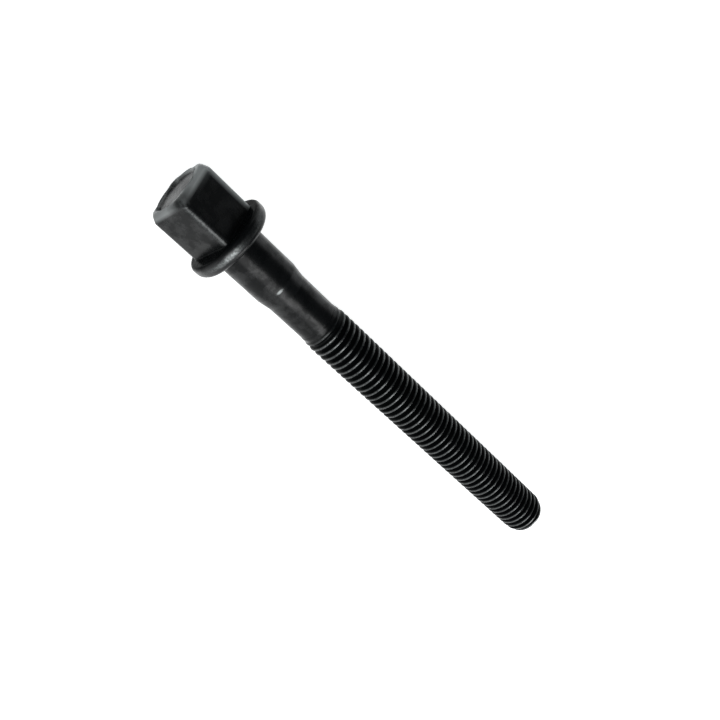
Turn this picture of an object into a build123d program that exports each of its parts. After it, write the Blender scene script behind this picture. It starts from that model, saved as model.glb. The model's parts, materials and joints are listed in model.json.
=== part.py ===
from build123d import *
import math
import os

# Cylinder head bolt: one forged and rolled piece with a square driving head, a round-rimmed
# flange, a plain pilot under the flange, a waist and a long right-hand metric thread, whose
# crests are modelled as a plain cylinder.
# All sizes are in millimetres. The bolt is built standing on its bearing face, with its axis
# on Z and its head up, and is then laid down on the plane z = 0 as it comes to rest.

# --- Thread ---
thread_diameter = 8.0        # crest diameter of the thread
thread_pitch = 1.25
run_out_turns = 2.0          # turns over which the crests grow out of the waist
point_turns = 1.4            # turns that the chamfered point takes up
point_diameter = 6.9         # flat end of the point
point_edge_radius = 0.35

# --- Shank ---
shank_length = 78.5          # bearing face to the end of the point
pilot_diameter = 8.0         # plain part under the flange, which centres the bolt in its hole
pilot_length = 8.6
waist_diameter = 7.3         # rolling diameter of the thread, left plain above it
waist_taper_length = 2.4     # cone between the pilot and the waist
plain_length = 20.6          # bearing face to the first full crest
under_head_radius = 0.4      # fillet between the flange and the pilot

# --- Flange ---
flange_diameter = 14.1
flange_thickness = 2.6
rim_upper_radius = 0.6       # rounding of the rim on the head's side
rim_lower_radius = 1.4       # rounding of the rim on the shank's side

# --- Square head ---
across_flats = 8.65
corner_radius = 1.0          # rounding of the four upright edges
square_height = 9.35         # top of the flange to the top of the head
square_base_radius = 0.3     # fillet where the square stands on the flange
corner_cut = 0.85            # how far in from a corner the turned chamfer starts
crown_drop = 1.3             # height that the turned chamfer takes off the corners
crown_edge_radius = 0.6      # rounding along the top edge
recess_diameter = 8.0        # shallow dish in the top of the head
recess_floor_diameter = 7.1
recess_depth = 0.4

# --- Rest ---
resting_roll = 0.6           # degrees about its own axis that the bolt has rolled to where it lies

# --- Worked out from the sizes above ---
head_height = flange_thickness + square_height
corner_reach = (across_flats / 2 - corner_radius) * math.sqrt(2) + corner_radius
crown_flat_radius = corner_reach - corner_cut
run_out_length = run_out_turns * thread_pitch
point_length = point_turns * thread_pitch


def round_shank():
    """Point, thread envelope, run-out, waist and pilot, turned about the Z axis."""
    outline = Polyline(
        (0, 0),
        (pilot_diameter / 2, 0),
        (pilot_diameter / 2, -pilot_length),
        (waist_diameter / 2, -pilot_length - waist_taper_length),
        (waist_diameter / 2, -plain_length + run_out_length),
        (thread_diameter / 2, -plain_length),
        (thread_diameter / 2, -shank_length + point_length),
        (point_diameter / 2, -shank_length),
        (0, -shank_length),
        close=True,
    )
    section = Plane.XZ * make_face(outline)
    shank = revolve(section, Axis.Z)
    end_edge = shank.edges().sort_by(Axis.Z)[0]
    return fillet(end_edge, point_edge_radius)


def round_flange():
    """Washer-like flange, rounded more on the side of the shank than on the side of the head."""
    disc = extrude(Circle(flange_diameter / 2), flange_thickness)
    disc = fillet(disc.edges().sort_by(Axis.Z)[0], rim_lower_radius)
    return fillet(disc.edges().sort_by(Axis.Z)[-1], rim_upper_radius)


def square_head():
    """Rounded square prism with a turned chamfer that leaves an arc on each of its corners.

    It starts half way up the flange, so that its foot is wholly inside the flange.
    """
    foot = flange_thickness / 2
    prism = extrude(
        Pos(0, 0, foot) * RectangleRounded(across_flats, across_flats, corner_radius),
        head_height - foot,
    )
    envelope = make_face(
        Polyline(
            (0, 0),
            (crown_flat_radius + 2 * corner_cut, 0),
            (crown_flat_radius + 2 * corner_cut, head_height - 2 * crown_drop),
            (crown_flat_radius, head_height),
            (0, head_height),
            close=True,
        )
    )
    head = prism & revolve(Plane.XZ * envelope, Axis.Z)
    top_face = head.faces().sort_by(Axis.Z)[-1]
    return fillet(top_face.edges(), crown_edge_radius)


def crown_recess():
    """Shallow dish with a sloping wall, to be cut into the top of the head."""
    floor_level = head_height - recess_depth
    dish = make_face(
        Polyline(
            (0, floor_level),
            (recess_floor_diameter / 2, floor_level),
            (recess_diameter / 2, head_height),
            (0, head_height),
            close=True,
        )
    )
    return revolve(Plane.XZ * dish, Axis.Z)


def edges_at(solid, level, reach):
    """Edges that lie at one height, no farther than reach from the bolt's axis."""
    flat_edges = solid.edges().filter_by_position(Axis.Z, level - 0.001, level + 0.001)
    return [edge for edge in flat_edges if edge.bounding_box().max.X < reach]


def standing_bolt():
    """The whole bolt as one solid, head up, with its bearing face on z = 0."""
    forging = round_flange() + square_head()
    square_foot = edges_at(forging, flange_thickness, corner_reach)
    forging = fillet(square_foot, square_base_radius)
    bolt = forging + round_shank()
    pilot_root = edges_at(bolt, 0, pilot_diameter / 2 + 0.1)
    bolt = fillet(pilot_root, under_head_radius)
    return bolt - crown_recess()


def lying_tilt():
    """Angle in degrees between the axis and the ground when flange and thread both touch it."""
    thread_end = shank_length - point_length
    run = thread_end + rim_lower_radius
    rise = flange_diameter / 2 - rim_lower_radius - thread_diameter / 2
    lift = math.asin(rim_lower_radius / math.hypot(run, rise))
    return math.degrees(math.atan2(rise, run) + lift)


def lying_bolt():
    """The bolt at rest: one side of the square upwards, point towards +X, lowest point on z = 0,
    and the middle of its outer box over the origin."""
    bolt = Rot(0, lying_tilt() - 90, 0) * Rot(0, 0, resting_roll) * standing_bolt()
    box = bolt.bounding_box()
    middle = box.center()
    return Pos(-middle.X, -middle.Y, -box.min.Z) * bolt


os.makedirs("parts", exist_ok=True)
bolt = lying_bolt()
export_step(bolt, "parts/cylinder_head_bolt.step")
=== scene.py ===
import json
import math

import bpy
import numpy as np
from mathutils import Matrix, Vector


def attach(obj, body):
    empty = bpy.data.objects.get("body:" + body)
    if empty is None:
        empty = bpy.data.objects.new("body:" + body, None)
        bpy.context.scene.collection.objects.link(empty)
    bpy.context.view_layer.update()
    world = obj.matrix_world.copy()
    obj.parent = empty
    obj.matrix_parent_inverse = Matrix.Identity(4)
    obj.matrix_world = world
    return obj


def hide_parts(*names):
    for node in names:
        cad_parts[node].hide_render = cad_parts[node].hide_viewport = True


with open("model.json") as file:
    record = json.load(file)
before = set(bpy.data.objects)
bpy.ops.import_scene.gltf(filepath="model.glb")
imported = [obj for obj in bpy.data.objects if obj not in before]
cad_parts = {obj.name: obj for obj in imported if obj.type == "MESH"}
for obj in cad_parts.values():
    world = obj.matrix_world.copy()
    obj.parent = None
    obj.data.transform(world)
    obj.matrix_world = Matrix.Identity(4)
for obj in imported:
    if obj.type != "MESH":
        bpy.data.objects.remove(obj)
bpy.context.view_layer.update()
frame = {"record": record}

bl_info = {
    "name": "Cylinder head bolt",
    "version": (1, 0, 0),
    "blender": (4, 5, 0),
    "location": "View3D > Sidebar > Bolt",
    "description": "Dresses the packed cylinder head bolt: forged head and shank, rolled thread, stage",
    "category": "Object",
}

CAD_NODE = "cylinder_head_bolt"
FINISH = "oiled_black_phosphate_steel"
SKIN = "skin"  # per-vertex shares of bare steel (wear and painted highlights), of grey painted light and of painted shade
MM = 0.001

mounts = {mount["name"]: mount for mount in frame["record"]["mounts"]}
thread_mount = mounts["thread"]
full_thread_radius = thread_mount["dims"]["r_mm"] * MM
full_thread_length = thread_mount["dims"]["length_mm"] * MM
axis_down = Vector(thread_mount["axis"]).normalized()
thread_middle = Vector(thread_mount["pos_m"])
bearing_point = Vector(mounts["bearing_face"]["pos_m"])
bearing_centre = thread_middle + axis_down * (bearing_point - thread_middle).dot(axis_down)
thread_middle_depth = (thread_middle - bearing_centre).dot(axis_down)


def resting_place(roll):
    """Matrix that lays the bolt down: it is modelled upright, with the head up and its bearing face
    on the ground plane, and turned about its own axis by roll first."""
    upright_z = -axis_down
    side = Vector((0, 1, 0))
    upright_x = side.cross(upright_z).normalized()
    lay = Matrix((upright_x, side, upright_z)).transposed().to_4x4()
    return Matrix.Translation(bearing_centre) @ lay @ Matrix.Rotation(roll, 4, "Z")


def thread_start(bolt):
    """Distance from the bearing face to where the run-out of the thread begins."""
    run_out = bolt.thread.run_out_turns * bolt.thread.pitch
    return thread_middle_depth - full_thread_length / 2 - run_out


# ---------------------------------------------------------------- settings


def linear(hex_colour):
    """Linear RGBA of an sRGB colour such as '#1c1e1f'."""
    parts = [int(hex_colour[i:i + 2], 16) / 255 for i in (1, 3, 5)]
    return tuple(c / 12.92 if c <= 0.04045 else ((c + 0.055) / 1.055) ** 2.4 for c in parts) + (1.0,)


def a_length(name, description, millimetres):
    """A length, kept in metres."""
    return bpy.props.FloatProperty(
        name=name, description=description, default=millimetres * MM,
        min=0.0, precision=5, subtype="DISTANCE", unit="LENGTH",
    )


def an_angle(name, description, degrees):
    """An angle, kept in radians."""
    return bpy.props.FloatProperty(
        name=name, description=description, default=math.radians(degrees),
        subtype="ANGLE", unit="ROTATION",
    )


def a_share(name, description, value):
    """A share from 0 to 1."""
    return bpy.props.FloatProperty(
        name=name, description=description, default=value, min=0.0, max=1.0, subtype="FACTOR",
    )


def an_amount(name, description, value):
    """A number that is never below 0."""
    return bpy.props.FloatProperty(name=name, description=description, default=value, min=0.0)


def a_count(name, description, value):
    """A whole number of steps."""
    return bpy.props.IntProperty(name=name, description=description, default=value, min=3)


def a_power(name, description, watts):
    """The power of a lamp."""
    return bpy.props.FloatProperty(
        name=name, description=description, default=watts, min=0.0, subtype="POWER", unit="POWER",
    )


def a_colour(name, description, hex_colour):
    """A colour, kept as linear RGB."""
    return bpy.props.FloatVectorProperty(
        name=name, description=description, default=linear(hex_colour)[:3],
        size=3, min=0.0, max=1.0, subtype="COLOR",
    )


class BoltHeadSizes(bpy.types.PropertyGroup):
    """Sizes of the forged head and flange"""

    across_flats: a_length("Across flats", "Width of the square over two sides", 8.65)
    corner_radius: a_length("Corner radius", "Rounding of the square's upright edges", 1.0)
    square_height: a_length("Square height", "Top of the flange to the top of the head", 9.35)
    foot_radius: a_length("Foot radius", "Fillet where the square stands on the flange", 0.2)
    corner_cut: a_length("Corner cut", "How far in from a corner the turned chamfer starts", 0.7)
    crown_drop: a_length("Crown drop", "Height that the turned chamfer takes off a corner", 1.3)
    crown_radius: a_length("Crown edge radius", "Rounding along the top edges", 0.75)
    crown_lean: a_length("Crown lean", "How much higher the forging is filled at one corner", 0.25)
    crown_rise: a_length("Crown rise", "How far the forged crown stands over its nominal height", 0.1)
    die_depth: a_length("Die depth", "Top part of the head in which the forging is uneven", 3.0)
    recess_diameter: a_length("Recess diameter", "Shallow dish in the top of the head", 8.0)
    recess_floor: a_length("Recess floor diameter", "Flat floor of the dish", 7.1)
    recess_depth: a_length("Recess depth", "Depth of the dish", 0.4)
    recess_edge: a_length("Recess edge radius", "Rounding of the dish's edges", 0.12)
    flange_diameter: a_length("Flange diameter", "Outer diameter of the round-rimmed flange", 14.1)
    flange_thickness: a_length("Flange thickness", "Bearing face to the top of the flange", 2.6)
    rim_upper: a_length("Upper rim radius", "Rounding of the rim on the side of the head", 0.6)
    rim_lower: a_length("Lower rim radius", "Rounding of the rim on the side of the shank", 1.4)
    root_radius: a_length("Root radius", "Fillet between the flange and the pilot", 0.4)


class BoltShankSizes(bpy.types.PropertyGroup):
    """Sizes of the plain shank"""

    pilot_diameter: a_length("Pilot diameter", "Plain part under the flange", 8.0)
    pilot_length: a_length("Pilot length", "Bearing face to the end of the pilot", 8.6)
    taper_length: a_length("Taper length", "Cone between the pilot and the waist", 2.4)
    waist_diameter: a_length("Waist diameter", "Plain waist above the thread", 7.3)
    blend_radius: a_length("Blend radius", "Rounding at both ends of the cone", 1.5)


class BoltThreadSizes(bpy.types.PropertyGroup):
    """Sizes of the rolled thread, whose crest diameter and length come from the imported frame"""

    pitch: a_length("Pitch", "Distance from crest to crest", 1.25)
    groove_depth: a_length("Groove depth", "Crest to root", 0.767)
    point_length: a_length("Point length", "Length of the chamfered point", 1.75)
    point_diameter: a_length("Point diameter", "Flat end of the point", 6.9)
    point_edge: a_length("Point edge", "Softness of the edge round the end", 0.35)
    run_out_turns: an_amount("Run-out turns", "Turns in which the crests grow out of the waist", 2.0)
    start_angle: an_angle("Start angle", "Where round the bolt the first turn begins", 158)
    steps_round: a_count("Steps round", "Faces in one turn of the thread", 72)
    steps_per_pitch: a_count("Steps per pitch", "Rows of faces from one crest to the next", 20)


class BoltFinishSettings(bpy.types.PropertyGroup):
    """Colours of the skin, and its shares of painted light, of painted shade and of rubbed steel, which
    also paints highlights
    """

    black_skin: a_colour("Black skin", "Phosphate skin with little oil on it", "#060708")
    oily_skin: a_colour("Oily skin", "Phosphate skin in a patch of oil", "#0c0e0f")
    # The grey in which light is painted on the crown and down one upright edge.
    lit_grey_skin: a_colour("Dry skin", "Phosphate skin that has lost its oil", "#a9adad")
    bare_steel: a_colour("Bare steel", "Steel where the skin is rubbed off", "#8f9393")
    # Painted light: grey painted on the crown's edges and the dish's floor, and a painted highlight down
    # one upright edge.
    crown_light: a_share("Dry crown", "How dry and grey the skin is on the crown's edges", 0.36)
    dish_light: a_share("Dry dish", "How dry and grey the skin is on the floor of the dish", 0.02)
    edge_highlight: a_share("Dry edge", "How dry and grey the skin is down the proudest edge", 0.45)
    # Painted shade: the shine is taken away on the dish's floor, on two corners of the crown and under
    # the flange's rim.
    dish_shade: a_share("Thick dish", "How thick the skin is on the floor of the dish", 0.5)
    corner_shade: a_share("Thick corners", "How thick the skin is on the crown's two oily corners", 0.8)
    shade_under_rim: a_share("Thick rim", "How thick the skin is under the flange's rim", 0.6)
    # Bare steel along the square's edges: wear, and a painted highlight that is strongest on the highest
    # corner.
    edge_rub_and_highlight: a_share("Rubbed edges", "Bare steel that shows along the square's edges", 0.08)
    # Bare steel on the rim: a little wear all round, and a painted highlight at the turn where the
    # highlight falls.
    rim_rub_and_highlight: a_share("Rubbed rim", "Bare steel that shows on the flange's rim at its most worn", 0.3)
    rubbed_round: a_share("Rubbed all round", "Part of that wear that goes all round the rim", 0.2)
    highlight_turn: an_angle("Most worn place", "Where round the bolt the rim is worn most", -49)
    rubbed_crests: a_share("Rubbed crests", "Bare steel that shows on the crests of the thread", 0.17)
    # Bare steel round the point's end: wear and a painted highlight.
    point_rub_and_highlight: a_share("Rubbed point", "Bare steel that shows round the end of the point", 0.2)


class BoltStageSettings(bpy.types.PropertyGroup):
    """Floor, light and camera"""

    view_slant: an_angle("Slant", "Angle between the bolt and the picture, point away", 28.62)
    view_turn: an_angle("Turn", "How far the camera stands round from the square's upper side", 36.6)
    picture_turn: an_angle("Picture turn", "How steeply the bolt runs down across the picture", 42.92)
    view_point: a_length("View point", "Bearing face to the point on the axis that is looked at", 28.8)
    view_side: a_length("View side", "Distance at which the camera aims past the axis, upwards", 0.1)
    view_distance: a_length("View distance", "Camera to the point that is looked at", 143.6)
    lens: bpy.props.FloatProperty(
        name="Lens", description="Focal length on a 36 mm sensor", default=43.5, min=1.0,
        subtype="DISTANCE_CAMERA", unit="CAMERA",
    )
    tent_colour: a_colour("Tent colour", "White cloth round the table", "#f8fcfd")
    tent_light: an_amount("Tent light", "Brightness of the cloth round the table", 1.0)
    ceiling_light: an_amount("Ceiling light", "Brightness of the opening overhead", 0.035)
    tent_edge: an_angle("Tent edge", "Height over the horizon at which the cloth ends", 41)
    tent_softness: a_share("Tent softness", "Half the height over which the cloth fades out", 0.06)
    tent_length: a_share("Tent length", "Cosine of the angle to the axis at which the cloth ends", 0.78)
    end_softness: a_share("End softness", "Half the cosine over which the cloth fades out there", 0.08)
    key_height: an_angle("Key height", "Height of the near softbox over the horizon", 30)
    key_turn: an_angle("Key turn", "How far the softbox stands round towards the point", 18)
    key_distance: a_length("Key distance", "Bolt to softbox", 600.0)
    key_width: a_length("Key width", "Width of the softbox", 500.0)
    key_rise: a_length("Key rise", "Height of the softbox", 380.0)
    key_power: a_power("Key power", "Power of the softbox", 2.25)
    end_width: a_length("End softbox width", "Width of the low softbox beyond the point", 340.0)
    end_rise: a_length("End softbox height", "Height of the low softbox beyond the point", 240.0)
    end_power: a_power("End power", "Power of the low softbox beyond the point", 2.2)
    floor_glow: an_amount("Floor glow", "Light that comes up through the table", 0.9)
    floor_colour: a_colour("Floor colour", "Matt pale floor", "#f4f5f5")


class BoltSettings(bpy.types.PropertyGroup):
    """Everything that can be changed about the bolt and its stage"""

    head: bpy.props.PointerProperty(type=BoltHeadSizes, name="Head", description="Sizes of the head")
    shank: bpy.props.PointerProperty(type=BoltShankSizes, name="Shank", description="Its sizes")
    thread: bpy.props.PointerProperty(type=BoltThreadSizes, name="Thread", description="Its sizes")
    finish: bpy.props.PointerProperty(
        type=BoltFinishSettings, name="Finish", description="Colours and wear of the skin",
    )
    stage: bpy.props.PointerProperty(
        type=BoltStageSettings, name="Stage", description="Floor, light and camera",
    )
    resting_roll: an_angle("Resting roll", "Turn about its own axis in which the bolt lies", 0.6)


# ---------------------------------------------------------------- finish

MATH = "ShaderNodeMath"
MAP_RANGE = "ShaderNodeMapRange"

# Sizes of the patterns in the finish, in millimetres. The crystals of the phosphate are really 5 to
# 20 micrometres across, and are drawn coarser so that they show.
CRYSTAL = 1 / 12
OIL_PATCH = 2.5
WORN_SPOT = 1 / 3

# The nick: where it is in the upright bolt, in millimetres, and the half sizes of its oval into the
# bolt, round it and along it.
NICK_TURN = math.radians(-45.3)
NICK_PLACE = (3.97 * math.cos(NICK_TURN), 3.97 * math.sin(NICK_TURN), -8.75)
NICK_REACH = (0.5, 0.8, 0.3)


def add(tree, kind, settings=None, inputs=()):
    """Adds a node. settings are its properties. inputs, in order or by name, are values for its
    inputs or the output sockets that feed them."""
    node = tree.nodes.new(kind)
    for name, value in (settings or {}).items():
        setattr(node, name, value)
    for key, value in inputs.items() if isinstance(inputs, dict) else enumerate(inputs):
        if isinstance(value, bpy.types.NodeSocket):
            tree.links.new(value, node.inputs[key])
        else:
            node.inputs[key].default_value = value
    return node


def oiled_black_phosphate(finish, place):
    """Manganese phosphate on forged steel, sealed with oil: a fine black crystal skin that is satin
    rather than shiny, a little lighter where it is rubbed or where light is painted on as grey, bright
    only where it is nicked. Painted highlights are bare steel, and painted shade takes its shine away."""
    material = bpy.data.materials.new(FINISH)
    material.use_nodes = True
    tree = material.node_tree
    tree.nodes.clear()

    # Object coordinates turned upright again, in millimetres: Z runs up the bolt's own axis.
    coordinates = add(tree, "ShaderNodeTexCoord").outputs["Object"]
    back = place.inverted()
    upright = add(
        tree, "ShaderNodeMapping", {"vector_type": "POINT"},
        {"Vector": coordinates, "Location": tuple(back.translation / MM),
         "Rotation": tuple(back.to_euler("XYZ")), "Scale": (1 / MM,) * 3},
    ).outputs["Vector"]
    grain = add(
        tree, "ShaderNodeTexNoise", None,
        {"Vector": upright, "Scale": 1 / CRYSTAL, "Detail": 4.0, "Roughness": 0.6},
    ).outputs["Fac"]
    patches = add(
        tree, "ShaderNodeTexNoise", None,
        {"Vector": upright, "Scale": 1 / OIL_PATCH, "Detail": 4.0, "Roughness": 0.6},
    ).outputs["Fac"]
    spots = add(
        tree, "ShaderNodeTexNoise", None,
        {"Vector": upright, "Scale": 1 / WORN_SPOT, "Detail": 4.0, "Roughness": 0.7},
    ).outputs["Fac"]
    shares = add(tree, "ShaderNodeAttribute", {"attribute_name": SKIN}).outputs["Vector"]
    rub_and_highlight, painted_light, painted_shade = add(tree, "ShaderNodeSeparateXYZ", None, (shares,)).outputs

    # The skin is black, a little paler and shinier in the patches of oil, and grey where light is
    # painted on.
    oiled = add(
        tree, "ShaderNodeMix", {"data_type": "RGBA"},
        {0: patches, 6: (*finish.black_skin, 1.0), 7: (*finish.oily_skin, 1.0)},
    ).outputs[2]
    skin_colour = add(
        tree, "ShaderNodeMix", {"data_type": "RGBA"},
        {0: painted_light, 6: oiled, 7: (*finish.lit_grey_skin, 1.0)},
    ).outputs[2]
    oil = add(
        tree, MAP_RANGE, None,
        {"Value": patches, "From Min": 0.42, "From Max": 0.58, "To Min": 0.14, "To Max": 0.32},
    ).outputs[0]
    # Painted shade: in corners, grooves, the dish and under the rim the skin hardly shines at all.
    dulled = add(tree, MATH, {"operation": "MULTIPLY_ADD"}, (painted_shade, -0.95, 1.0)).outputs[0]
    shine = add(tree, MATH, {"operation": "MULTIPLY"}, (oil, dulled)).outputs[0]
    satin = add(
        tree, MAP_RANGE, None,
        {"Value": patches, "From Min": 0.3, "From Max": 0.7, "To Min": 0.30, "To Max": 0.24},
    ).outputs[0]
    roughness = add(tree, MATH, {"operation": "MULTIPLY_ADD"}, (painted_light, 0.2, satin)).outputs[0]
    bump = add(
        tree, "ShaderNodeBump", None, {"Strength": 0.25, "Distance": 0.02 * MM, "Height": grain},
    ).outputs["Normal"]
    skin = add(
        tree, "ShaderNodeBsdfPrincipled", None,
        {"Base Color": skin_colour, "Metallic": 0.0, "Roughness": roughness, "IOR": 1.45,
         "Specular IOR Level": shine, "Normal": bump},
    ).outputs[0]
    steel = add(
        tree, "ShaderNodeBsdfPrincipled", None,
        {"Base Color": (*finish.bare_steel, 1.0), "Metallic": 1.0, "Roughness": 0.34,
         "Normal": bump},
    ).outputs[0]

    # A nick on the cone under the pilot: a bright oval, narrow along the bolt.
    across_nick = add(
        tree, "ShaderNodeMapping", {"vector_type": "TEXTURE"},
        {"Vector": upright, "Location": NICK_PLACE, "Rotation": (0, 0, NICK_TURN),
         "Scale": NICK_REACH},
    ).outputs["Vector"]
    from_nick = add(
        tree, "ShaderNodeVectorMath", {"operation": "LENGTH"}, (across_nick,),
    ).outputs["Value"]
    nick = add(
        tree, MAP_RANGE, None,
        {"Value": from_nick, "From Min": 1.0, "From Max": 0.4, "To Min": 0.0, "To Max": 0.5},
    ).outputs[0]
    # Rubbed places and painted highlights are speckled, because the skin wears off in small spots.
    speckle = add(
        tree, MAP_RANGE, None,
        {"Value": spots, "From Min": 0.38, "From Max": 0.62, "To Min": 0.35, "To Max": 1.65},
    ).outputs[0]
    rub_and_highlight_spots = add(tree, MATH, {"operation": "MULTIPLY"}, (rub_and_highlight, speckle)).outputs[0]
    # bare mixes in bare steel for wear, for the nick and for the painted highlights.
    bare = add(tree, MATH, {"operation": "MAXIMUM"}, (rub_and_highlight_spots, nick)).outputs[0]
    surface = add(tree, "ShaderNodeMixShader", None, (bare, skin, steel)).outputs[0]
    add(tree, "ShaderNodeOutputMaterial", None, {"Surface": surface})
    return material


def finish_material(bolt):
    """The one finish that both pieces share."""
    known = bpy.data.materials.get(FINISH)
    return known or oiled_black_phosphate(bolt.finish, resting_place(bolt.resting_roll))


# ---------------------------------------------------------------- head and plain shank

# How finely the head is drawn: points along a side and round a corner of the square, and rings in
# each part from the crown down.
SIDE_POINTS, CORNER_POINTS = 30, 14
STEPS = {
    "dish edge": 5, "crown": 8, "crown edge": 12, "wall": 13, "foot": 8, "flange": 7,
    "upper rim": 12, "lower rim": 20, "bearing face": 4, "root": 8, "cone": 8,
}
FLOOR_RINGS = np.array((0.4, 0.9, 1.4, 1.9, 2.4, 2.8)) * MM  # radii of those on the dish's floor
# Flats beside the dish's wall that its rounded edges run out on, inside and outside it.
INNER_FLAT, OUTER_FLAT = 0.4 * MM, 0.04 * MM
# First ring below the pilot's root and last ring but one of the waist, which keep the shading
# straight there.
NEAR_ROOT, NEAR_END = 0.2 * MM, 0.05 * MM
LONGEST_EASE = 0.45  # share of a straight that the rounding at one of its ends may take up
BALL_PLACES = 81  # places that are tried for the middle of a rolling ball

# Painted light and shade on the head. One corner of the crown, the highest, gets that much more grey
# painted light and bare steel as a painted highlight than the rest. The corners on both sides of it get
# that much less painted light.
HIGHLIT_LIGHTER, HIGHLIT_BARER, SHADED_CORNERS_DARKER = 1.2, 3.5, 0.9
# Where the painted highlight down the upright edge and the painted shade on the two corners begin and
# are reached, as a share of the way out.
HIGHLIT_EDGE = (0.82, 0.9)
SHADED_CORNERS = (0.55, 0.85)
HIGHLIGHT_FOCUS = 6  # the higher, the shorter the painted highlight on the rim
TINY = 1e-9  # metres; keeps the angle round a corner defined on the flats


def arc(centre_r, centre_z, radius, start, end, steps):
    """Points (r, z) on an arc, angles in degrees, both ends included."""
    return [
        (centre_r + radius * math.cos(t), centre_z + radius * math.sin(t))
        for t in np.radians(np.linspace(start, end, steps + 1))
    ]


def eased(points, radius, steps):
    """A profile of (r, z) points whose inner corners are rounded to a radius."""
    result = [points[0]]
    for before, corner, after in zip(points, points[1:], points[2:]):
        a, b, c = Vector(before), Vector(corner), Vector(after)
        inward, outward = (a - b).normalized(), (c - b).normalized()
        half = math.acos(max(-1, min(1, inward.dot(outward)))) / 2
        longest = LONGEST_EASE * min((a - b).length, (c - b).length)
        reach = min(radius / math.tan(half), longest)
        start, end = b + inward * reach, b + outward * reach
        for t in np.linspace(0, 1, steps + 1):
            result.append(tuple(start * (1 - t) ** 2 + b * 2 * t * (1 - t) + end * t ** 2))
    return result + [points[-1]]


def square_outline(half, corner, side_steps, corner_steps):
    """Points and outward normals round a square with rounded corners."""
    limit = math.atan2(half - corner, half)
    side = [((half, half * math.tan(t)), (1.0, 0.0))
            for t in np.linspace(-limit, limit, side_steps, endpoint=False)]
    bend = [((half - corner + corner * math.cos(t), half - corner + corner * math.sin(t)),
             (math.cos(t), math.sin(t)))
            for t in np.linspace(0, math.pi / 2, corner_steps, endpoint=False)]
    points, normals = (np.array(part) for part in zip(*(side + bend)))
    turns = [np.array(((c, -s), (s, c))) for c, s in ((1, 0), (0, 1), (-1, 0), (0, -1))]
    return (np.vstack([points @ turn.T for turn in turns]),
            np.vstack([normals @ turn.T for turn in turns]))


def with_height(flat, height):
    """Ring of 3-D points from 2-D ones and one height or one for each."""
    return np.column_stack((flat, np.broadcast_to(height, len(flat))))


def rolling_ball(outline, normals, surface, radius, side, steps):
    """Rings of a fillet between the square's wall and a turned surface, as a rolling ball leaves it.

    side is -1 where the ball rolls inside the wall, under a convex edge, and 1 outside it, in the
    corner of a foot. The rings run from the wall to the surface.
    """
    spread = np.linspace(0, 2 * radius, BALL_PLACES)
    gap = np.sqrt(np.maximum(radius ** 2 - (spread - radius) ** 2, 0))
    reach = np.linalg.norm(
        outline[:, None, :] + side * spread[None, :, None] * normals[:, None, :], axis=2
    )
    centre_height = surface(reach) + side * gap
    touch = centre_height.argmin(1) if side < 0 else centre_height.argmax(1)
    rows = np.arange(len(outline))
    centre = centre_height[rows, touch]
    end = np.arctan2(-side * gap[touch], spread[touch] - radius)
    start = math.pi
    rings = []
    for t in np.linspace(0, 1, steps + 1):
        angle = -side * (start + (np.abs(end) - start) * t)
        offset = radius + radius * np.cos(angle)
        flat = outline + side * offset[:, None] * normals
        rings.append(with_height(flat, centre + radius * np.sin(angle)))
    return rings


def beyond_reach(rings, reach):
    """The same rings, drawn outwards where they would begin closer to the axis than reach."""
    stack = np.array(rings)
    places = np.arange(len(stack))
    distance = np.linalg.norm(stack[..., :2], axis=2)
    result = np.empty_like(stack)
    for column in range(stack.shape[1]):
        first = np.interp(reach, distance[:, column], places)
        wanted = np.linspace(first, places[-1], len(places))
        for axis in range(3):
            result[:, column, axis] = np.interp(wanted, places, stack[:, column, axis])
    return list(result)


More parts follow.
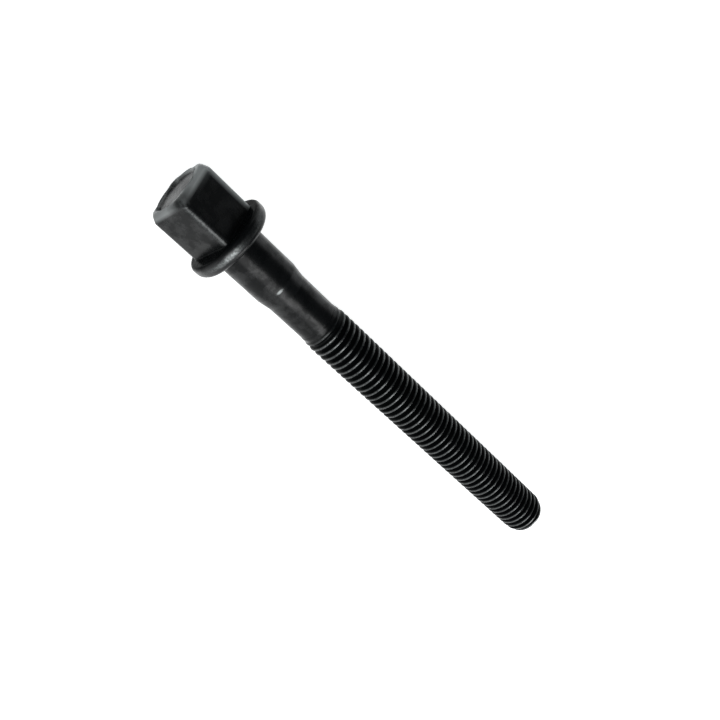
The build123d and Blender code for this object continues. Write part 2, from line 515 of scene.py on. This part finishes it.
def head_rings(head, shank, plain_end):
    """Every ring of the head and plain shank, from the middle of the dish to the end of the waist,
    and the heights of the two points on the axis that close them."""
    half = head.across_flats / 2
    corner_reach = (half - head.corner_radius) * math.sqrt(2) + head.corner_radius
    crown_flat = corner_reach - head.corner_cut
    slope = head.crown_drop / head.corner_cut
    lean = math.atan(slope)
    top = head.flange_thickness + head.square_height
    ease_start = crown_flat - head.crown_radius * math.tan(lean / 2)

    def crown(reach):
        into = reach - ease_start
        eased_drop = head.crown_radius - np.sqrt(
            np.maximum(head.crown_radius ** 2 - np.clip(into, 0, None) ** 2, 0)
        )
        straight = (reach - crown_flat) * slope
        on_arc = into < head.crown_radius * math.sin(lean)
        return top - np.where(on_arc, eased_drop, straight)

    thickness, rim = head.flange_thickness, head.flange_diameter / 2
    upper, lower = head.rim_upper, head.rim_lower
    flat_top, flat_bottom = rim - upper, rim - lower

    def flange_top(reach):
        beyond = np.clip(reach - flat_top, 0, upper)
        return thickness - upper + np.sqrt(upper ** 2 - beyond ** 2)

    outline, normals = square_outline(half, head.corner_radius, SIDE_POINTS, CORNER_POINTS)
    directions = outline / np.linalg.norm(outline, axis=1)[:, None]

    def circle(radius, height):
        return with_height(directions * radius, height)

    floor = top - head.recess_depth
    dish = eased(
        [(head.recess_floor / 2 - INNER_FLAT, floor), (head.recess_floor / 2, floor),
         (head.recess_diameter / 2, top), (head.recess_diameter / 2 + OUTER_FLAT, top)],
        head.recess_edge, STEPS["dish edge"],
    )
    crown_edge = rolling_ball(outline, normals, crown, head.crown_radius, -1, STEPS["crown edge"])
    crown_edge = beyond_reach(crown_edge[::-1], dish[-1][0])
    # Where the crown's rounding begins lower than the dish's edge, the dish is drawn down to it.
    brim = np.minimum(crown_edge[0][:, 2], top)
    rings = [circle(r, floor) for r in FLOOR_RINGS]
    rings += [circle(r, floor + (z - floor) * (brim - floor) / (top - floor)) for r, z in dish]

    inner, outer = rings[-1], crown_edge[0]
    for t in np.linspace(0, 1, STEPS["crown"] + 1)[1:-1]:
        flat = inner[:, :2] * (1 - t) + outer[:, :2] * t
        rings.append(with_height(flat, crown(np.linalg.norm(flat, axis=1))))
    rings += crown_edge

    foot = rolling_ball(outline, normals, flange_top, head.foot_radius, 1, STEPS["foot"])
    wall_top, wall_foot = crown_edge[-1], foot[0]
    for t in np.linspace(0, 1, STEPS["wall"] + 1)[1:-1]:
        rings.append(wall_top * (1 - t) + wall_foot * t)
    rings += foot

    outer = circle(flat_top, 0)
    for t in np.linspace(0, 1, STEPS["flange"] + 1)[1:]:
        flat = foot[-1][:, :2] * (1 - t) + outer[:, :2] * t
        rings.append(with_height(flat, flange_top(np.linalg.norm(flat, axis=1))))
    upper_rim = arc(flat_top, thickness - upper, upper, 90, 0, STEPS["upper rim"])
    rings += [circle(r, z) for r, z in upper_rim[1:]]
    rings += [circle(rim, (thickness - upper) * (1 - t) + lower * t) for t in (0.33, 0.67)]
    lower_rim = arc(flat_bottom, lower, lower, 0, -90, STEPS["lower rim"])
    rings += [circle(r, z) for r, z in lower_rim]

    pilot = shank.pilot_diameter / 2
    waist = shank.waist_diameter / 2
    root = head.root_radius
    bearing = np.linspace(flat_bottom, pilot + root, STEPS["bearing face"] + 1)
    rings += [circle(r, 0) for r in bearing[1:-1]]
    rings += [circle(r, z) for r, z in arc(pilot + root, -root, root, 90, 180, STEPS["root"])]
    taper_end = shank.pilot_length + shank.taper_length
    barrel = eased(
        [(pilot, -root - NEAR_ROOT), (pilot, -shank.pilot_length), (waist, -taper_end),
         (waist, -plain_end + NEAR_END)],
        shank.blend_radius, STEPS["cone"],
    ) + [(waist, -plain_end)]
    rings += [circle(r, z) for r, z in barrel]
    return rings, floor, -plain_end


def fill_of_the_die(points, head):
    """The points of the head with its crown a little higher at one corner, as the forging came out."""
    top = head.flange_thickness + head.square_height
    reached = np.clip((points[:, 2] - top + head.die_depth) / head.die_depth, 0, 1)
    toward_corner = (points[:, 0] + points[:, 1]) / head.across_flats
    points[:, 2] += reached * (head.crown_rise + head.crown_lean * toward_corner)
    return points


def fade(value, start, end):
    """0 at start, 1 at end and beyond it, and straight between the two."""
    return np.clip((value - start) / (end - start), 0, 1)


def skin_shares(points, head, finish):
    """Shares of bare steel, of painted light and of painted shade at each point of the head and shank.

    Bare steel shows where the edges and the rim are rubbed, and as painted highlights down the highest
    corner's edge and on the rim. Light is painted grey on the crown. Shade is painted, as shine taken
    away, round the foot of the square, in the dish, on two corners and under the rim.
    """
    x, y = np.abs(points[:, :2]).T
    z = points[:, 2]
    reach = np.hypot(x, y)
    thickness = head.flange_thickness
    top = thickness + head.square_height
    rim = head.flange_diameter / 2
    on_crown = fade(z, top - 1.3 * MM, top - 0.8 * MM)
    in_dish = fade(reach, head.recess_diameter / 2, head.recess_diameter / 2 - 0.1 * MM)
    in_floor = fade(reach, head.recess_floor / 2 + 0.1 * MM, head.recess_floor / 2)
    # The corner where the forging stands highest gets the most painted light and painted highlight, down
    # its whole edge; the two corners next to it get painted shade.
    highlit_corner = np.clip((points[:, 0] + points[:, 1]) / head.across_flats, 0, 1)
    shaded_corners = fade(np.abs(points[:, 0] - points[:, 1]) / head.across_flats, *SHADED_CORNERS)
    light_factor = 1 + HIGHLIT_LIGHTER * np.sqrt(highlit_corner) - SHADED_CORNERS_DARKER * shaded_corners
    painted_light = on_crown * (finish.crown_light * light_factor * (1 - in_dish) + finish.dish_light * in_floor)

    straight = head.across_flats / 2 - head.corner_radius
    turn = np.arctan2(np.clip(y - straight, 0, None), np.clip(x - straight, TINY, None))
    corner = 1 - np.abs(turn / (math.pi / 4) - 1)
    on_square = fade(z, thickness + 0.05 * MM, thickness + 0.3 * MM)
    painted_light = np.maximum(painted_light, finish.edge_highlight * fade(highlit_corner, *HIGHLIT_EDGE) * on_square)
    edges = finish.edge_rub_and_highlight * (1 + HIGHLIT_BARER * highlit_corner) * fade(corner, 0, 0.5) * on_square
    # The rim is worn a little all round; the bare steel is strongest at the turn where the highlight
    # falls, a painted highlight.
    facing = np.cos(np.arctan2(points[:, 1], points[:, 0]) - finish.highlight_turn)
    wear_and_highlight = finish.rubbed_round + (1 - finish.rubbed_round) * np.clip(facing, 0, 1) ** HIGHLIGHT_FOCUS
    rims = finish.rim_rub_and_highlight * wear_and_highlight * fade(reach, rim - 0.6 * MM, rim - 0.1 * MM)
    rims *= fade(z, thickness - 0.6 * MM, thickness - 0.95 * MM) * fade(z, 0.9 * MM, 1.3 * MM)

    # Painted shade: the shine is taken away round the foot of the square, on the dish's wall and floor,
    # on two corners and under the rim.
    at_foot = fade(z, thickness + 0.25 * MM, thickness + 0.1 * MM)
    on_flange = fade(z, thickness - 0.45 * MM, thickness - 0.1 * MM)
    underneath = fade(z, 1.1 * MM, 0.7 * MM) * fade(reach, rim - 3.0 * MM, rim - 2.4 * MM)
    painted_shade = np.maximum.reduce((
        at_foot * on_flange,
        on_crown * in_dish * (1 - in_floor),
        finish.shade_under_rim * underneath,
        finish.dish_shade * on_crown * in_floor,
        finish.corner_shade * on_crown * shaded_corners,
    ))
    return np.column_stack((np.maximum(edges, rims), painted_light, painted_shade))


def closed_tube(rings, first_pole, last_pole):
    """Vertices and faces of a tube of rings that ends in a point at each end, on the axis."""
    count = len(rings[0])
    points = np.vstack([[(0, 0, first_pole)], *rings, [(0, 0, last_pole)]])
    around = np.arange(count)
    after = (around + 1) % count
    faces = [(0, 1 + b, 1 + a) for a, b in zip(after, around)]
    for level in range(len(rings) - 1):
        low = 1 + level * count
        high = low + count
        faces += [tuple(face) for face in np.column_stack(
            (low + around, high + around, high + after, low + after)).tolist()]
    last = len(points) - 1
    low = last - count
    faces += [(low + a, last, low + b) for a, b in zip(around, after)]
    return points, faces


def make_object(name, mesh, material):
    """Shows a finished mesh as a piece of the object, which stands for the CAD node."""
    mesh.name = name
    mesh.materials.clear()
    mesh.materials.append(material)
    mesh.polygons.foreach_set("use_smooth", [True] * len(mesh.polygons))
    piece = bpy.data.objects.new(name, mesh)
    bpy.context.scene.collection.objects.link(piece)
    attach(piece, "root")
    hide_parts(CAD_NODE)


class BOLT_OT_head(bpy.types.Operator):
    """Builds the forged square head, its flange and the plain shank"""

    bl_idname = "bolt.head"
    bl_label = "Head and plain shank"

    def execute(self, context):
        bolt = context.scene.cylinder_head_bolt
        plain_end = thread_start(bolt)
        rings, first_pole, last_pole = head_rings(bolt.head, bolt.shank, plain_end)
        points, faces = closed_tube(rings, first_pole, last_pole)
        points = fill_of_the_die(points, bolt.head)
        mesh = bpy.data.meshes.new("head_and_shank")
        mesh.from_pydata(points.tolist(), [], faces)
        if mesh.validate():
            raise RuntimeError("the head mesh was not sound")
        skin = mesh.attributes.new(SKIN, "FLOAT_VECTOR", "POINT")
        skin.data.foreach_set("vector", skin_shares(points, bolt.head, bolt.finish).ravel())
        mesh.transform(resting_place(bolt.resting_roll))
        make_object("head_and_shank", mesh, finish_material(bolt))
        return {"FINISHED"}


# ---------------------------------------------------------------- thread

# Half a groove, from the middle of the crest (0) to the middle of the root (1): where the crest's
# flat ends and where the flank runs into the root, each with its share of the depth.
CREST_END = (0.19, 0.0)
FLANK_END = (0.80, 0.93)
CONE_BLEND = 0.15  # how softly the grooves run into the point's cone, as a share of its edge
HIGHLIT_POINT_END = 4.0  # length of the end of the point that is bare steel, worn and a painted highlight, counted in widths of its edge
FEWEST_FACES = 1000  # a thread with fewer has not been made

THREAD_INPUTS = (
    ("Crest Radius", "NodeSocketFloat"),
    ("Waist Radius", "NodeSocketFloat"),
    ("Pitch", "NodeSocketFloat"),
    ("Groove Depth", "NodeSocketFloat"),
    ("Length", "NodeSocketFloat"),
    ("Run-out Length", "NodeSocketFloat"),
    ("Point Length", "NodeSocketFloat"),
    ("Point Radius", "NodeSocketFloat"),
    ("Point Edge", "NodeSocketFloat"),
    ("Start Angle", "NodeSocketFloat"),
    ("Steps Round", "NodeSocketInt"),
    ("Steps Per Pitch", "NodeSocketInt"),
    ("Rubbed Crests", "NodeSocketFloat"),
    ("Point Rub And Highlight", "NodeSocketFloat"),
    ("Finish", "NodeSocketMaterial"),
)


def thread_tree():
    """Node tree of a right-hand rolled thread. Its rows of faces follow the helix, so that crest and
    root are clean edges, and it runs downwards from the ground plane."""
    tree = bpy.data.node_groups.new("rolled_thread", "GeometryNodeTree")
    for name, kind in THREAD_INPUTS:
        tree.interface.new_socket(name, in_out="INPUT", socket_type=kind)
    tree.interface.new_socket("Geometry", in_out="OUTPUT", socket_type="NodeSocketGeometry")
    given = add(tree, "NodeGroupInput").outputs
    pitch, steps = given["Pitch"], given["Steps Per Pitch"]
    bottom, run_out = given["Length"], given["Run-out Length"]
    end_radius, edge = given["Point Radius"], given["Point Edge"]

    # A flat grid with a column for each step round, and rows for the thread and for the end face.
    step = add(tree, MATH, {"operation": "DIVIDE"}, (pitch, steps)).outputs[0]
    whole = add(tree, MATH, {"operation": "ADD"}, (bottom, end_radius)).outputs[0]
    climbed = add(tree, MATH, {"operation": "ADD"}, (whole, pitch)).outputs[0]
    exact_rows = add(tree, MATH, {"operation": "DIVIDE"}, (climbed, step)).outputs[0]
    rows = add(tree, MATH, {"operation": "CEIL"}, (exact_rows,)).outputs[0]
    columns = add(tree, MATH, {"operation": "ADD"}, (given["Steps Round"], 1.0)).outputs[0]
    lines = add(tree, MATH, {"operation": "ADD"}, (rows, 1.0)).outputs[0]
    grid = add(
        tree, "GeometryNodeMeshGrid", None,
        {"Size X": 1.0, "Size Y": 1.0, "Vertices X": columns, "Vertices Y": lines},
    ).outputs["Mesh"]
    in_grid = add(tree, "GeometryNodeInputPosition").outputs[0]
    place = add(tree, "ShaderNodeSeparateXYZ", None, (in_grid,)).outputs
    turn = add(tree, MATH, {"operation": "ADD"}, (place["X"], 0.5)).outputs[0]
    row_share = add(tree, MATH, {"operation": "ADD"}, (place["Y"], 0.5)).outputs[0]
    row = add(tree, MATH, {"operation": "MULTIPLY"}, (row_share, rows)).outputs[0]

    # Distance along the bolt: a row climbs by one pitch as it goes once round.
    row_depth = add(tree, MATH, {"operation": "MULTIPLY"}, (row, step)).outputs[0]
    turn_left = add(tree, MATH, {"operation": "SUBTRACT"}, (turn, 1.0)).outputs[0]
    climb = add(tree, MATH, {"operation": "MULTIPLY"}, (turn_left, pitch)).outputs[0]
    endless = add(tree, MATH, {"operation": "ADD"}, (row_depth, climb)).outputs[0]
    along = add(tree, "ShaderNodeClamp", None, (endless, 0.0, whole)).outputs[0]

    # Depth of the groove, as a share, by the distance from the middle of the nearest crest.
    turns = add(tree, MATH, {"operation": "DIVIDE"}, (row, steps)).outputs[0]
    phase = add(tree, MATH, {"operation": "FRACT"}, (turns,)).outputs[0]
    from_middle = add(tree, MATH, {"operation": "SUBTRACT"}, (phase, 0.5)).outputs[0]
    off_crest = add(tree, MATH, {"operation": "ABSOLUTE"}, (from_middle,)).outputs[0]
    from_crest = add(tree, MATH, {"operation": "MULTIPLY"}, (off_crest, 2.0)).outputs[0]
    shape = add(tree, "ShaderNodeFloatCurve", None, {"Value": from_crest})
    curve = shape.mapping.curves[0]
    curve.points[0].location = (0.0, 0.0)
    curve.points[1].location = (1.0, 1.0)
    curve.points.new(*CREST_END).handle_type = "VECTOR"
    curve.points.new(*FLANK_END).handle_type = "AUTO"
    shape.mapping.update()
    groove = shape.outputs[0]

    # Radius of the thread: in the run-out the crests grow steadily and the grooves deepen, slowly
    # at first.
    crest = add(
        tree, MAP_RANGE, None,
        {"Value": along, "From Min": 0.0, "From Max": run_out,
         "To Min": given["Waist Radius"], "To Max": given["Crest Radius"]},
    ).outputs[0]
    grown = add(
        tree, MAP_RANGE, None,
        {"Value": along, "From Min": 0.0, "From Max": run_out, "To Min": 0.0, "To Max": 1.0},
    ).outputs[0]
    cut_in = add(tree, MATH, {"operation": "POWER"}, (grown, 2.0)).outputs[0]
    full_depth = add(tree, MATH, {"operation": "MULTIPLY"}, (groove, given["Groove Depth"])).outputs[0]
    depth = add(tree, MATH, {"operation": "MULTIPLY"}, (full_depth, cut_in)).outputs[0]
    wall = add(tree, MATH, {"operation": "SUBTRACT"}, (crest, depth)).outputs[0]

    # The point is a cone that cuts the thread off, and the edge round its end is a quarter circle.
    cone_start = add(tree, MATH, {"operation": "SUBTRACT"}, (bottom, given["Point Length"])).outputs[0]
    cone = add(
        tree, MAP_RANGE, None,
        {"Value": along, "From Min": cone_start, "From Max": bottom,
         "To Min": given["Crest Radius"], "To Max": end_radius},
    ).outputs[0]
    softness = add(tree, MATH, {"operation": "MULTIPLY"}, (edge, CONE_BLEND)).outputs[0]
    coned = add(tree, MATH, {"operation": "SMOOTH_MIN"}, (wall, cone, softness)).outputs[0]
    edge_start = add(tree, MATH, {"operation": "SUBTRACT"}, (bottom, edge)).outputs[0]
    into_edge = add(
        tree, MAP_RANGE, None,
        {"Value": along, "From Min": edge_start, "From Max": bottom, "To Min": 0.0, "To Max": edge},
    ).outputs[0]
    edge_square = add(tree, MATH, {"operation": "MULTIPLY"}, (edge, edge)).outputs[0]
    into_square = add(tree, MATH, {"operation": "MULTIPLY"}, (into_edge, into_edge)).outputs[0]
    height_square = add(tree, MATH, {"operation": "SUBTRACT"}, (edge_square, into_square)).outputs[0]
    arc_height = add(tree, MATH, {"operation": "SQRT"}, (height_square,)).outputs[0]
    rounded_off = add(tree, MATH, {"operation": "SUBTRACT"}, (edge, arc_height)).outputs[0]
    outside = add(tree, MATH, {"operation": "SUBTRACT"}, (coned, rounded_off)).outputs[0]
    # Past the end, the rows close in on the axis over the flat face.
    closing = add(
        tree, MAP_RANGE, None,
        {"Value": along, "From Min": bottom, "From Max": whole, "To Min": 1.0, "To Max": 0.0},
    ).outputs[0]
    radius = add(tree, MATH, {"operation": "MULTIPLY"}, (outside, closing)).outputs[0]
    level = add(tree, MATH, {"operation": "MINIMUM"}, (along, bottom)).outputs[0]
    below = add(tree, MATH, {"operation": "MULTIPLY"}, (level, -1.0)).outputs[0]
    angle = add(
        tree, MATH, {"operation": "MULTIPLY_ADD"}, (turn, -2 * math.pi, given["Start Angle"]),
    ).outputs[0]
    on_profile = add(tree, "ShaderNodeCombineXYZ", None, {"X": radius, "Z": below}).outputs[0]
    on_helix = add(
        tree, "ShaderNodeVectorRotate", {"rotation_type": "Z_AXIS"},
        {"Vector": on_profile, "Angle": angle},
    ).outputs[0]

    # The crests are rubbed, and shade is painted into the grooves by taking their shine away. The end of
    # the point is bare steel towards its edge, wear and a painted highlight, and gets no painted shade.
    on_crest = add(
        tree, MAP_RANGE, None,
        {"Value": groove, "From Min": 0.0, "From Max": 0.08, "To Min": 1.0, "To Max": 0.0},
    ).outputs[0]
    in_groove = add(
        tree, MAP_RANGE, None,
        {"Value": groove, "From Min": 0.02, "From Max": 0.25, "To Min": 0.0, "To Max": 1.0},
    ).outputs[0]
    bare_length = add(tree, MATH, {"operation": "MULTIPLY"}, (edge, HIGHLIT_POINT_END)).outputs[0]
    bare_start = add(tree, MATH, {"operation": "SUBTRACT"}, (bottom, bare_length)).outputs[0]
    at_end = add(
        tree, MAP_RANGE, None,
        {"Value": along, "From Min": bare_start, "From Max": bottom, "To Min": 0.0, "To Max": 1.0},
    ).outputs[0]
    crests = add(tree, MATH, {"operation": "MULTIPLY"}, (on_crest, given["Rubbed Crests"])).outputs[0]
    worn_crests = add(tree, MATH, {"operation": "MULTIPLY"}, (crests, cut_in)).outputs[0]
    rub_and_highlight = add(
        tree, MATH, {"operation": "MULTIPLY_ADD"}, (at_end, given["Point Rub And Highlight"], worn_crests),
    ).outputs[0]
    before_end = add(tree, MATH, {"operation": "SUBTRACT"}, (1.0, at_end)).outputs[0]
    groove_shade = add(tree, MATH, {"operation": "MULTIPLY"}, (in_groove, cut_in)).outputs[0]
    painted_shade = add(tree, MATH, {"operation": "MULTIPLY"}, (groove_shade, before_end)).outputs[0]
    shares = add(tree, "ShaderNodeCombineXYZ", None, {"X": rub_and_highlight, "Z": painted_shade}).outputs[0]

    # The shares are stored while the points still lie in the grid that they are worked out from.
    marked = add(
        tree, "GeometryNodeStoreNamedAttribute", {"data_type": "FLOAT_VECTOR", "domain": "POINT"},
        {"Geometry": grid, "Name": SKIN, "Value": shares},
    ).outputs[0]
    helix = add(
        tree, "GeometryNodeSetPosition", None, {"Geometry": marked, "Position": on_helix},
    ).outputs[0]
    joined = add(
        tree, "GeometryNodeMergeByDistance", None, {"Geometry": helix, "Distance": 0.001 * MM},
    ).outputs[0]
    real = add(tree, "GeometryNodeRealizeInstances", None, {"Geometry": joined}).outputs[0]
    finished = add(
        tree, "GeometryNodeSetMaterial", None, {"Geometry": real, "Material": given["Finish"]},
    ).outputs[0]
    add(tree, "NodeGroupOutput", None, (finished,))
    return tree


class BOLT_OT_thread(bpy.types.Operator):
    """Builds the rolled right-hand thread with its run-out and its chamfered point"""

    bl_idname = "bolt.thread"
    bl_label = "Rolled thread"

    def execute(self, context):
        bolt = context.scene.cylinder_head_bolt
        sizes = bolt.thread
        start = thread_start(bolt)
        end = thread_middle_depth + full_thread_length / 2 + sizes.point_length
        cone_angle = math.atan2(sizes.point_length, full_thread_radius - sizes.point_diameter / 2)
        values = {
            "Crest Radius": full_thread_radius,
            "Waist Radius": bolt.shank.waist_diameter / 2,
            "Pitch": sizes.pitch,
            "Groove Depth": sizes.groove_depth,
            "Length": end - start,
            "Run-out Length": sizes.run_out_turns * sizes.pitch,
            "Point Length": sizes.point_length,
            "Point Radius": sizes.point_diameter / 2,
            "Point Edge": sizes.point_edge * math.tan(cone_angle / 2),
            "Start Angle": sizes.start_angle,
            "Steps Round": sizes.steps_round,
            "Steps Per Pitch": sizes.steps_per_pitch,
            "Rubbed Crests": bolt.finish.rubbed_crests,
            "Point Rub And Highlight": bolt.finish.point_rub_and_highlight,
            "Finish": finish_material(bolt),
        }
        tree = thread_tree()
        maker = bpy.data.objects.new("thread_maker", bpy.data.meshes.new("thread_maker"))
        context.scene.collection.objects.link(maker)
        modifier = maker.modifiers.new("thread", "NODES")
        modifier.node_group = tree
        for socket in tree.interface.items_tree:
            if socket.in_out == "INPUT":
                modifier[socket.identifier] = values[socket.name]
        graph = context.evaluated_depsgraph_get()
        mesh = bpy.data.meshes.new_from_object(maker.evaluated_get(graph))
        bpy.data.objects.remove(maker)
        if len(mesh.polygons) < FEWEST_FACES:
            raise RuntimeError("the thread came out empty")
        mesh.transform(resting_place(bolt.resting_roll) @ Matrix.Translation((0, 0, -start)))
        make_object("rolled_thread", mesh, finish_material(bolt))
        return {"FINISHED"}


# ---------------------------------------------------------------- stage

FLOOR_REACH = 1.5  # metres from the origin to each side of the floor
# Towards the end softbox: shares along the bolt, towards the camera and across the bolt.
END_SOFTBOX = (0.95, 0.25, 0.12)


def opal_acrylic(stage):
    """Opal acrylic sheet, moulded and matt, lit from below so that the bolt casts hardly a shadow."""
    material = bpy.data.materials.new("opal_acrylic")
    material.use_nodes = True
    shader = material.node_tree.nodes["Principled BSDF"]
    shader.inputs["Base Color"].default_value = (*stage.floor_colour, 1.0)
    shader.inputs["Roughness"].default_value = 0.8
    shader.inputs["Specular IOR Level"].default_value = 0.1
    shader.inputs["Emission Color"].default_value = (*stage.floor_colour, 1.0)
    shader.inputs["Emission Strength"].default_value = stage.floor_glow
    return material


def studio_tent(stage, along):
    """White cloth along both sides of the bolt, with dark openings overhead and at both ends."""
    world = bpy.data.worlds.new("studio_tent")
    world.use_nodes = True
    tree = world.node_tree
    tree.nodes.clear()
    direction = add(tree, "ShaderNodeTexCoord").outputs["Generated"]
    height = add(tree, "ShaderNodeSeparateXYZ", None, (direction,)).outputs["Z"]
    endwards = add(
        tree, "ShaderNodeVectorMath", {"operation": "DOT_PRODUCT"}, (direction, tuple(along)),
    ).outputs["Value"]
    to_an_end = add(tree, MATH, {"operation": "ABSOLUTE"}, (endwards,)).outputs[0]
    top = math.sin(stage.tent_edge)
    under_top = add(
        tree, MAP_RANGE, {"interpolation_type": "SMOOTHSTEP"},
        {"Value": height, "From Min": top - stage.tent_softness,
         "From Max": top + stage.tent_softness, "To Min": 1.0, "To Max": 0.0},
    ).outputs[0]
    beside = add(
        tree, MAP_RANGE, {"interpolation_type": "SMOOTHSTEP"},
        {"Value": to_an_end, "From Min": stage.tent_length - stage.end_softness,
         "From Max": stage.tent_length + stage.end_softness, "To Min": 1.0, "To Max": 0.0},
    ).outputs[0]
    cloth = add(tree, MATH, {"operation": "MULTIPLY"}, (under_top, beside)).outputs[0]
    light = add(
        tree, MATH, {"operation": "MULTIPLY_ADD"},
        (cloth, stage.tent_light - stage.ceiling_light, stage.ceiling_light),
    ).outputs[0]
    background = add(
        tree, "ShaderNodeBackground", None,
        {"Color": (*stage.tent_colour, 1.0), "Strength": light},
    ).outputs[0]
    add(tree, "ShaderNodeOutputWorld", None, {"Surface": background})
    return world


def lamp(name, direction, distance, size, power, target):
    """A soft rectangular lamp that stands in one direction from target and shines at it."""
    light = bpy.data.lights.new(name, "AREA")
    light.shape = "RECTANGLE"
    light.size, light.size_y = size
    light.energy = power
    body = bpy.data.objects.new(name, light)
    toward = direction.normalized()
    body.location = target + toward * distance
    body.rotation_euler = toward.to_track_quat("Z", "Y").to_euler()
    body.visible_camera = False
    bpy.context.scene.collection.objects.link(body)


class BOLT_OT_stage(bpy.types.Operator):
    """Sets the floor, the lamps, the surroundings and the camera"""

    bl_idname = "bolt.stage"
    bl_label = "Stage"

    def execute(self, context):
        scene = context.scene
        bolt = scene.cylinder_head_bolt
        stage = bolt.stage
        place = resting_place(bolt.resting_roll)
        target = place @ Vector((0, 0, -stage.view_point))

        # A light table: matt acrylic that glows a little from below.
        mesh = bpy.data.meshes.new("floor")
        ends = (-FLOOR_REACH, FLOOR_REACH)
        corners = [(ends[x], ends[y], 0) for x, y in ((0, 0), (1, 0), (1, 1), (0, 1))]
        mesh.from_pydata(corners, [], [(0, 1, 2, 3)])
        mesh.materials.append(opal_acrylic(stage))
        floor = bpy.data.objects.new("floor", mesh)
        scene.collection.objects.link(floor)

        # Directions: along the bolt to its point, out of the two sides of the square that are seen,
        # square to the bolt on the camera's side, and across both.
        along = -(place.to_3x3() @ Vector((0, 0, 1)))
        upper_side = place.to_3x3() @ Vector((1, 0, 0))
        near_side = place.to_3x3() @ Vector((0, -1, 0))
        toward = upper_side * math.cos(stage.view_turn) + near_side * math.sin(stage.view_turn)
        across = along.cross(toward)

        scene.world = studio_tent(stage, along)
        key = near_side * math.cos(stage.key_height) + upper_side * math.sin(stage.key_height)
        key += along * math.tan(stage.key_turn)
        end = along * END_SOFTBOX[0] + toward * END_SOFTBOX[1] + across * END_SOFTBOX[2]
        lamp("key_softbox", key, stage.key_distance,
             (stage.key_width, stage.key_rise), stage.key_power, target)
        lamp("end_softbox", end, stage.key_distance,
             (stage.end_width, stage.end_rise), stage.end_power, target)

        slant, lean = stage.view_slant, stage.picture_turn
        back = toward * math.cos(slant) - along * math.sin(slant)
        run = along * math.cos(slant) + toward * math.sin(slant)
        right = run * math.cos(lean) - across * math.sin(lean)
        up = back.cross(right)
        camera = bpy.data.cameras.new("camera")
        camera.sensor_width = 36.0
        camera.lens = stage.lens
        camera.clip_start, camera.clip_end = 5 * MM, 20.0
        holder = bpy.data.objects.new("camera", camera)
        aim = target - across * stage.view_side
        turn = Matrix((right, up, back)).transposed().to_4x4()
        holder.matrix_world = Matrix.Translation(aim + back * stage.view_distance) @ turn
        scene.collection.objects.link(holder)
        scene.camera = holder
        scene.view_settings.view_transform = "Standard"
        return {"FINISHED"}


# ---------------------------------------------------------------- panel and run


class BOLT_PT_panel(bpy.types.Panel):
    """Sizes and steps of the cylinder head bolt"""

    bl_idname = "BOLT_PT_panel"
    bl_label = "Cylinder head bolt"
    bl_space_type = "VIEW_3D"
    bl_region_type = "UI"
    bl_category = "Bolt"

    def draw(self, context):
        bolt = context.scene.cylinder_head_bolt
        layout = self.layout
        layout.prop(bolt, "resting_roll")
        for group, step in ((bolt.head, "bolt.head"), (bolt.shank, None), (bolt.thread, "bolt.thread"),
                            (bolt.finish, None), (bolt.stage, "bolt.stage")):
            box = layout.box()
            for name in group.__annotations__:
                box.prop(group, name)
            if step:
                box.operator(step)


CLASSES = (
    BoltHeadSizes, BoltShankSizes, BoltThreadSizes, BoltFinishSettings, BoltStageSettings,
    BoltSettings,
    BOLT_OT_head, BOLT_OT_thread, BOLT_OT_stage, BOLT_PT_panel,
)


def register():
    """Adds the settings, the operators and the panel to Blender."""
    for each in CLASSES:
        bpy.utils.register_class(each)
    bpy.types.Scene.cylinder_head_bolt = bpy.props.PointerProperty(type=BoltSettings)


def unregister():
    """Takes away what register added."""
    del bpy.types.Scene.cylinder_head_bolt
    for each in reversed(CLASSES):
        bpy.utils.unregister_class(each)


def main():
    """Builds both pieces and the stage."""
    register()
    bpy.ops.bolt.head()
    bpy.ops.bolt.thread()
    bpy.ops.bolt.stage()


if __name__ == "__main__":
    main()
